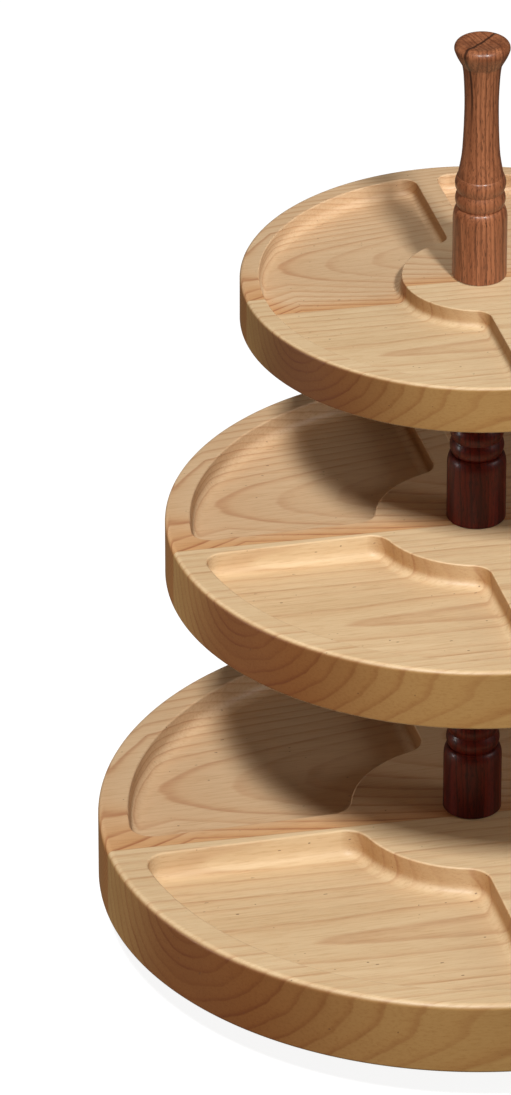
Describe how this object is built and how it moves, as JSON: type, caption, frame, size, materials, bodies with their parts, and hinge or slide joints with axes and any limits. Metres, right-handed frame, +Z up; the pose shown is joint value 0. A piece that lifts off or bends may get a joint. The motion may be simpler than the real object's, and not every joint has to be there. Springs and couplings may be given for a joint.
{
  "type": "tiered cake stand",
  "caption": "Tiered revolving serving stand: round pine trays with routed compartments on turned posts, a turned handle on top, and a ball-bearing base.",
  "frame": {"origin": "on the post axis, at the floor under the rubber feet", "axes": "+Z up along the post axis; the tray dividers run along X and Y, and the top tray's two dividers along Y"},
  "size_m": [0.4064, 0.4064, 0.53],
  "materials": {
    "pine": "clear satin oil over light pine",
    "walnut": "satin lacquer over mid-brown walnut",
    "dark_stained_wood": "satin lacquer over dark red-brown stain",
    "alloy": "turned",
    "steel": "zinc plated",
    "brass": "plain",
    "nylon": "moulded",
    "rubber": "matte"
  },
  "bodies": {
    "base": {"base_disc": "pine", "foot_1": "rubber", "foot_2": "rubber", "foot_3": "rubber", "foot_4": "rubber", "foot_screw_1": "steel", "foot_screw_2": "steel", "foot_screw_3": "steel", "foot_screw_4": "steel", "bearing_lower_ring": "alloy", "lower_ring_screw_1": "steel", "lower_ring_screw_2": "steel", "lower_ring_screw_3": "steel", "lower_ring_screw_4": "steel"},
    "ball_cage": {"ball_cage": "nylon", "ball_01": "steel", "ball_02": "steel", "ball_03": "steel", "ball_04": "steel", "ball_05": "steel", "ball_06": "steel", "ball_07": "steel", "ball_08": "steel", "ball_09": "steel", "ball_10": "steel", "ball_11": "steel", "ball_12": "steel"},
    "tower": {"bearing_upper_ring": "alloy", "upper_ring_screw_1": "steel", "upper_ring_screw_2": "steel", "upper_ring_screw_3": "steel", "upper_ring_screw_4": "steel", "lower_tray": "pine", "lower_post": "dark_stained_wood", "middle_tray": "pine", "upper_post": "dark_stained_wood", "upper_tray": "pine", "handle": "walnut", "handle_insert": "brass", "tie_rod": "steel", "tie_rod_nut": "steel", "tie_rod_washer": "steel"}
  },
  "joints": [
    {"name": "tower_spin", "type": "hinge", "parent": "base", "child": "tower", "pos_m": [0, 0, 0.021], "axis": [0, 0, 1], "continuous": true},
    {"name": "cage_spin", "type": "hinge", "parent": "base", "child": "ball_cage", "pos_m": [0, 0, 0.021], "axis": [0, 0, 1], "continuous": true}
  ],
  "couplings": [
    {"joint": "cage_spin", "follows": "tower_spin", "ratio": 0.5}
  ]
}
